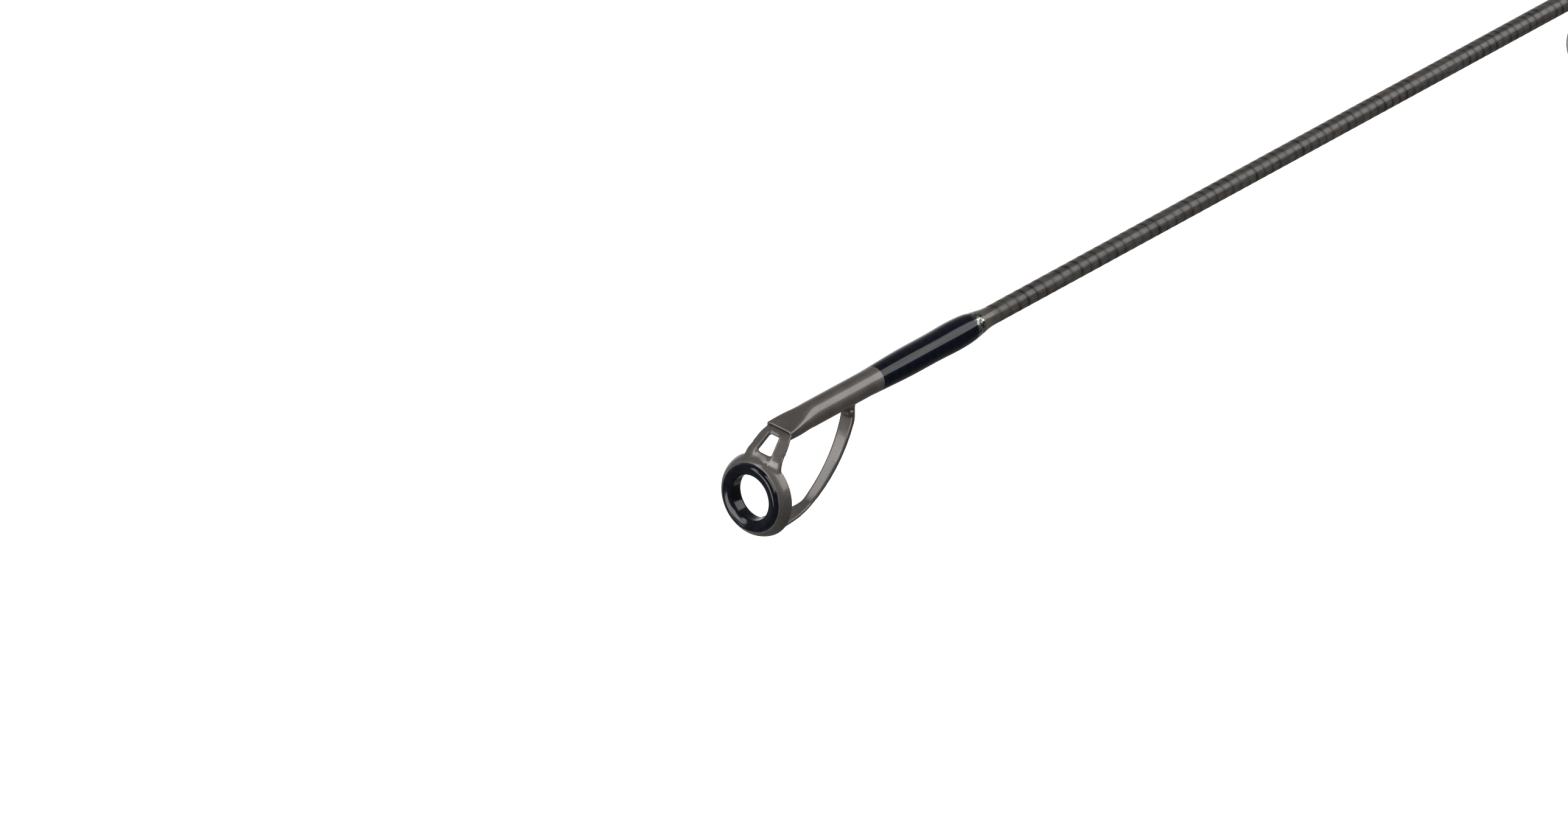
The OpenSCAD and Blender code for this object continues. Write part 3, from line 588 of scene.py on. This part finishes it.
def frame_brace(bm):
    """Strap bowed down from its foot on the tube, the tongue that widens to the collar, and the braze."""
    foot, bow, elbow = Vector((-9.25, 0, -0.95)), Vector((-8.75, 0, -6.4)), Vector((-4.6, 0, -8.97))
    lead, root = Vector((-3.0, 0, -9.5)), Vector((2.35, 0, -8.42))
    foot_half_w, elbow_half_w, root_gain = 0.7, 0.46, 0.95
    foot_y, foot_length, elbow_y = 0.3, 0.15, -0.2
    unturn_start, unturn_length = 0.7, 0.3
    strap = bend(foot, bow, elbow, 26)
    tongue = bend(elbow, lead, root, 18)[1:]
    half_ws, turns = [], []
    for i, p in enumerate(strap):
        t = i / (len(strap) - 1)
        half_ws.append(lerp(foot_half_w, elbow_half_w, t))
        turns.append(BRACE_TURN * (1 - BRACE_UNTURN * smooth(max(0, t - unturn_start) / unturn_length)))
        p.y = lerp(0, elbow_y, t) - foot_y * (1 - smooth(clamped(t / foot_length)))
    for i, p in enumerate(tongue):
        u = (i + 1) / len(tongue)
        half_ws.append(elbow_half_w + root_gain * u ** 1.5)
        turns.append(BRACE_TURN * (1 - BRACE_UNTURN) * (1 - smooth(clamped(u * 1.6))))
        p.y = lerp(elbow_y, 0, u)
    count = len(half_ws)
    bar(bm, strap + tongue, half_ws, [SHEET / 2] * count, BRACE_FORM, turns)
    braze = [Vector((-9.6, -0.1, -1.0)), Vector((-9.3, -0.1, -1.15)), Vector((-8.6, -0.2, -1.2)),
        Vector((-7.7, -0.2, -0.95))]
    bar(bm, braze, [0.3, 0.6, 0.75, 0.3], [0.1, 0.3, 0.4, 0.1], BRAZE_FORM)
    drop = [Vector((-9.05, -0.1, -1.5)), Vector((-8.9, -0.1, -1.65)), Vector((-8.86, -0.1, -1.9)),
        Vector((-8.95, -0.1, -2.2))]
    bar(bm, drop, [0.3, 0.66, 0.66, 0.4], [0.2, 0.36, 0.36, 0.1], DROP_FORM)


def tip_frame():
    """Bent sheet with its joints brazed and rounded."""
    bm = bmesh.new()
    frame_legs(bm)
    frame_collar(bm)
    frame_brace(bm)
    bmesh.ops.recalc_face_normals(bm, faces=bm.faces)
    skin = melted(bm, FRAME_VOXEL, FRAME_ROUNDS)
    brazed_foot = ((-8.9, 0, -1.35), 1.2, 9)
    web = ((1.9, 0, -1.7), 2.1, 12)
    leg_ends = [((1.78, y, -1.75), 0.9, 60) for y in (-1.45, 0.05, 1.55)]
    tongue_root = ((2.0, 0, -8.5), 2.2, 20)
    elbow = ((-4.2, -0.2, -9.1), 1.3, 10)
    for centre, reach, rounds in (brazed_foot, web, *leg_ends, tongue_root, elbow):
        fillet(skin, Vector(centre), reach, rounds)
    finished("tip_top_frame_skin", moved(skin, AT_MOUTH), guide_metal, "tip_section",
        ["tip_top_frame"], sharp=80)


def tip_ring():
    """Ceramic ring: a broad funnel in front, a narrow roll outside it and a plain round back."""
    bore, funnel = ((0.547, 2.26), 0.31, -90, -38), ((-0.012, 2.69), 1.0, -38, -6)
    roll, back = ((0.655, 2.62), 0.33, -6, 90), ((-0.22, 2.45), 0.5, 90, 180)
    inside = ((-0.22, 2.45), 0.5, 180, 270)
    steps = 8
    outline = []
    for (x, r), radius, start, end in (bore, funnel, roll, back, inside):
        for k in range(steps + 1):
            a = math.radians(lerp(start, end, k / steps))
            outline.append((x + radius * math.cos(a), r + radius * math.sin(a)))
    bm = spun(outline, RING_STEPS, closed=True)
    finished("tip_top_ring_skin", moved(bm, AT_MOUTH @ AT_RING), black_ceramic, "tip_section",
        ["tip_top_ring"], sharp=80)


def tip_binding():
    """Resin film, black wrap, silver band and resin run-out on the tube's end, in one profile."""
    profile = [(LIP_FRONT, TUBE_R + FILM_T), (WRAP_FRONT, 1.15), (-16.0, 1.275), (-20.0, 1.292),
        (-22.6, 1.347), (-24.0, 1.318), (WRAP_REAR, 1.25), (BAND_REAR, 1.1), (-27.0, 0.94),
        (TAIL_REAR, 0.872)]

    def radius(x):
        """Smooth curve through the profile's points."""
        i = 1
        while i < len(profile) - 1 and profile[i][0] > x:
            i += 1
        (x0, r0), (x1, r1) = profile[i - 1], profile[i]
        before, after = profile[max(i - 2, 0)], profile[min(i + 1, len(profile) - 1)]
        span, t = x1 - x0, (x - x0) / (x1 - x0)
        lean0 = (r1 - before[1]) / (x1 - before[0]) * span
        lean1 = (after[1] - r0) / (after[0] - x0) * span
        return lerp(r0, r1, smooth(t)) + t * (1 - t) * ((1 - t) * lean0 - t * lean1)

    def sleeve(name, x0, x1, finish, node):
        steps = max(12, int(4 * (x0 - x1)))
        outline = [(x, radius(x)) for x in (lerp(x0, x1, k / steps) for k in range(steps + 1))]
        inner = [(x, max(r - SLEEVE_T, SLEEVE_LEAST_R)) for x, r in (outline[0], outline[-1])]
        bm = spun([inner[0]] + outline + [inner[1]], RING_STEPS)
        finished(name, moved(bm, AT_MOUTH), finish, "tip_section", [node], sharp=60)

    sleeve("tip_film_skin", LIP_FRONT, WRAP_FRONT, clear_film, "tip_wrap")
    sleeve("tip_wrap_skin", WRAP_FRONT, WRAP_REAR, black_wrap, "tip_wrap")
    sleeve("tip_band_skin", WRAP_REAR, BAND_REAR, silver_thread, "tip_trim_band")
    sleeve("tip_tail_skin", BAND_REAR, TAIL_REAR, clear_resin, "tip_wrap_tail")


# Blanks, reel seat and bindings


def ridged_blank(name, x0, x1, radius, pitch, height, finish, body, node, mouth, steps):
    """Blank with the spiral ridges of its shrink tape, each turn lapped over the next, and its cut end."""
    outline = []
    for turn in range(int((x1 - x0) / pitch)):
        for share, rise in ((0.0, 0.0), (0.5, 0.55), (0.9, 1.0)):
            outline.append((x0 + (turn + share) * pitch, 1 + rise))
    bm = spun(outline, steps, pitch=pitch)
    for v in bm.verts:
        rise = math.hypot(v.co.y, v.co.z) - 1
        resized_round(v, (radius(v.co.x) + (rise - 1) * height) / (1 + rise))
    bmesh.ops.remove_doubles(bm, verts=bm.verts, dist=0.02)
    joined(bm, spun(mouth, steps))
    finished(name, bm, finish, body, [node], sharp=80)


def tip_section_blank():
    """Tip blank from its socket to the tube."""
    end_r = tip_r(BUTT_LEN)
    mouth = [(BUTT_LEN + 2, end_r), (BUTT_LEN, end_r), (BUTT_LEN, SOCKET_R), (SOCKET_END, SOCKET_R),
        (SOCKET_END, 0.1)]
    ridged_blank("tip_blank_skin", BUTT_LEN, ROD_LEN - TUBE_LEN + 2, tip_r, TIP_PITCH, TIP_RIDGE, tip_carbon,
        "tip_section", "tip_blank", mouth, TIP_STEPS)


def butt_section_blank():
    """Butt blank from the butt cap to the end that the spigot stands in."""
    end_r = butt_r(BUTT_END)
    mouth = [(BUTT_END - 2.3, end_r), (BUTT_END, end_r), (BUTT_END, SPIGOT_R), (BUTT_END - 2, SPIGOT_R)]
    ridged_blank("butt_blank_skin", BLANK_START, BUTT_END - 2, butt_r, BUTT_PITCH, BUTT_RIDGE, butt_carbon,
        "butt_section", "butt_blank", mouth, BUTT_STEPS)


def reel_seat():
    """Seat body with the thread that the lock nut runs on, a bore for the arbors and a flat for the reel."""
    outer, inner = SEAT_D / 2, SEAT_BORE_D / 2
    thread_end = SEAT_X + THREAD_LEN
    groove = ((0.0, 0.0), (0.35, 0.0), (0.55, 1.0), (0.8, 1.0))
    outline = []
    x = SEAT_X - THREAD_PITCH
    while x < SEAT_END + THREAD_PITCH:
        outline += [(x + share * THREAD_PITCH, outer - depth * THREAD_DEPTH) for share, depth in groove]
        x += THREAD_PITCH
    bm = spun(outline, SEAT_STEPS, pitch=THREAD_PITCH)
    bmesh.ops.remove_doubles(bm, verts=bm.verts, dist=0.02)
    for v in bm.verts:
        r = math.hypot(v.co.y, v.co.z)
        fade = smooth(clamped((thread_end - v.co.x) / THREAD_PITCH))
        resized_round(v, (outer - (outer - r) * fade) / r)

    def cut(place, normal):
        """Takes away what is behind a plane, and returns the edges of the cut."""
        geom = bm.verts[:] + bm.edges[:] + bm.faces[:]
        made = bmesh.ops.bisect_plane(bm, geom=geom, plane_co=place, plane_no=normal, clear_inner=True)
        return [e for e in made["geom_cut"] if isinstance(e, bmesh.types.BMEdge)]

    bores = []
    for x, inward in ((SEAT_X, X_AXIS), (SEAT_END, -X_AXIS)):
        rim = cut((x, 0, 0), inward)
        turn = Matrix.Translation((x, 0, 0)) @ Matrix.Rotation(math.pi / 2, 4, "Y")
        hole = bmesh.ops.create_circle(bm, segments=SEAT_STEPS, radius=inner, matrix=turn)["verts"]
        bore = list(dict.fromkeys(e for v in hole for e in v.link_edges))
        bmesh.ops.bridge_loops(bm, edges=rim + bore)
        bores += bore
    bmesh.ops.bridge_loops(bm, edges=bores)
    bmesh.ops.edgeloop_fill(bm, edges=cut((0, 0, -SEAT_FLAT), Z_AXIS))
    finished("reel_seat_skin", bm, seat_plastic, "butt_section", ["reel_seat_body"])


def solid_boxes(ob):
    """Corners of the box round each separate solid of an object, in millimetres."""
    bm = bmesh.new()
    bm.from_mesh(ob.data)
    bmesh.ops.remove_doubles(bm, verts=bm.verts, dist=0.001 * MM)
    seen = set()
    boxes = []
    for first in bm.verts:
        if first in seen:
            continue
        seen.add(first)
        front = [first]
        places = []
        while front:
            v = front.pop()
            places.append(ob.matrix_world @ v.co / MM)
            beside = [w for w in (e.other_vert(v) for e in v.link_edges) if w not in seen]
            front += beside
            seen.update(beside)
        boxes.append([Vector([pick(p[axis] for p in places) for axis in range(3)]) for pick in (min, max)])
    bm.free()
    return boxes


def thread_sleeve(bm, low, high, ring_x):
    """Wrap as smooth resin: it swells from thin ends, and hangs over a foot that stops short of one end."""
    hang = max(0, low.y - low.z)
    steps = 10
    stations = [low.x + WRAP_SLOPE * k / steps for k in range(steps + 1)]
    stations += [high.x - WRAP_SLOPE * (1 - k / steps) for k in range(steps + 1)]

    def section(x, r, drop):
        """Round section joined with the same round lowered by the drop."""
        points = []
        for k in range(WRAP_STEPS):
            a = math.tau * k / WRAP_STEPS
            below = drop * math.cos(a) + math.sqrt(r * r - (drop * math.sin(a)) ** 2)
            reach = max(r, below)
            points.append(Vector((x, reach * math.sin(a), -reach * math.cos(a))))
        return points

    sections = [section(low.x, blank_r(low.x) - WRAP_EDGE, 0)]
    for x in stations:
        inward = min(x - low.x, high.x - x)
        height = lerp(WRAP_EDGE, WRAP_T, smooth(min(1, inward / WRAP_SLOPE)))
        drop = hang
        if ring_x is not None:
            from_outer_end = x - low.x if x < ring_x else high.x - x
            drop = hang * smooth(min(1, from_outer_end / WRAP_LEAD))
        sections.append(section(x, blank_r(x) + height, drop))
    sections.append(section(high.x, blank_r(high.x) - WRAP_EDGE, 0))
    lofted(bm, sections, hollow=True)


def guide_ring_x(node):
    """Place of a guide's ring along the rod, from the name of its wraps; none if the wraps hold no guide."""
    ring = node.replace("wraps", "ring")
    if ring == node or ring not in nodes:
        return None
    low, high = solid_boxes(nodes[ring])[0]
    return (low.x + high.x) / 2


def thread_wraps():
    """Bindings of the guides, the hook keeper and the joint, over the boxes of their solids."""
    for part in frame["record"]["subparts"]:
        node = part["node"]
        if part["material_slot"] != "wrap" or node == "tip_wrap":
            continue
        boxes = solid_boxes(nodes[node])
        bm = bmesh.new()
        for low, high in boxes:
            thread_sleeve(bm, low, high, guide_ring_x(node))
        body = "butt_section" if boxes[0][0].x < BUTT_LEN else "tip_section"
        finished(node + "_skin", bm, black_wrap, body, [node], sharp=60)


tip_tube()
tip_frame()
tip_ring()
tip_binding()
tip_section_blank()
butt_section_blank()
reel_seat()
thread_wraps()


# Finishes of the solids that stay

FINISHES = {
    "cap_rubber": cap_rubber, "foam": eva_foam, "trim_metal": trim_metal, "carbon": spigot_carbon,
    "seat_plastic": seat_plastic, "hood_plastic": hood_plastic, "arbor": arbor_foam,
    "guide_metal": guide_metal, "ring_ceramic": black_ceramic, "wrap": black_wrap,
    "silver_thread": silver_thread, "resin": clear_resin}
for part in frame["record"]["subparts"]:
    mesh = nodes[part["node"]].data
    mesh.materials.clear()
    mesh.materials.append(FINISHES[part["material_slot"]])


# Studio: a pale floor far below, three softboxes, and a backdrop for what the rod mirrors


def backdrop():
    """World that is white to the camera, grey to rough surfaces, and brighter to one side in reflections."""
    world = bpy.data.worlds.new("studio")
    bpy.context.scene.world = world
    world.use_nodes = True
    tree = world.node_tree
    heading = add(tree, "ShaderNodeTexCoord").outputs["Generated"]
    facing = add(tree, "ShaderNodeVectorMath", {0: heading, 1: BACKDROP.normalized()},
        operation="DOT_PRODUCT")
    wall = ramp(tree, facing.outputs["Value"], (0.1, "#303030"), (0.45, "#525252"), (0.7, "#606060"),
        (0.88, "#909090"), (0.98, "#f0f0f0"))
    path = add(tree, "ShaderNodeLightPath").outputs
    mirrored = calc(tree, "ADD", path["Is Glossy Ray"], path["Is Transmission Ray"])
    shown = mixed(tree, mirrored, colour("#5c5c5c"), wall)
    sky = mixed(tree, path["Is Camera Ray"], shown, WHITE)
    tree.links.new(sky, tree.nodes["Background"].inputs["Color"])


def softbox(name, at, aim, size, radiance, roll=0.0):
    """Rectangular light of an even radiance, out of the camera's sight."""
    data = bpy.data.lights.new(name, "AREA")
    data.shape = "RECTANGLE"
    data.size, data.size_y = size
    data.energy = radiance * math.pi * size[0] * size[1]
    lamp = bpy.data.objects.new(name, data)
    lamp.location = at
    turn = (aim - at).to_track_quat("-Z", "Y") @ Quaternion(Z_AXIS, roll)
    lamp.rotation_euler = turn.to_euler()
    lamp.visible_camera = False
    bpy.context.scene.collection.objects.link(lamp)


def softboxes():
    """A long light beside the whole rod, one before the tip and a narrow one at its side."""
    tip = Vector((ROD_LEN * MM, 0, 0))
    lift = Vector((0, math.cos(LONG_RISE), math.sin(LONG_RISE)))
    start = tip - X_AXIS * LONG_BACK + lift * LONG_REACH
    softbox("long_softbox", start, start - lift, size=(4.9, 2.1), radiance=1.8)
    softbox("front_softbox", tip + Vector((1.2, -0.1, 0.14)), tip, size=(0.6, 1.0), radiance=3.4)
    softbox("side_softbox", tip + Vector((0.93, -0.56, 0.7)), tip, size=(0.38, 1.6), radiance=2.6,
        roll=math.radians(17))


def pale_floor():
    """Floor that is white to the camera and left out of reflections, where the backdrop shows instead."""
    paper, tree, shader, _ = material(
        "pale_floor", Base_Color=colour("#e4e4e4"), Roughness=0.9, Emission_Color=WHITE)
    seen = add(tree, "ShaderNodeLightPath").outputs["Is Camera Ray"]
    tree.links.new(seen, shader.inputs["Emission Strength"])
    mesh = bpy.data.meshes.new("floor")
    bm = bmesh.new()
    bmesh.ops.create_grid(bm, x_segments=1, y_segments=1, size=FLOOR_HALF)
    bm.to_mesh(mesh)
    bm.free()
    mesh.materials.append(paper)
    floor = bpy.data.objects.new("floor", mesh)
    floor.location = (0, 0, -FLOOR_DROP)
    floor.visible_glossy = False
    bpy.context.scene.collection.objects.link(floor)


bpy.context.scene.view_settings.view_transform = "Standard"
backdrop()
softboxes()
pale_floor()
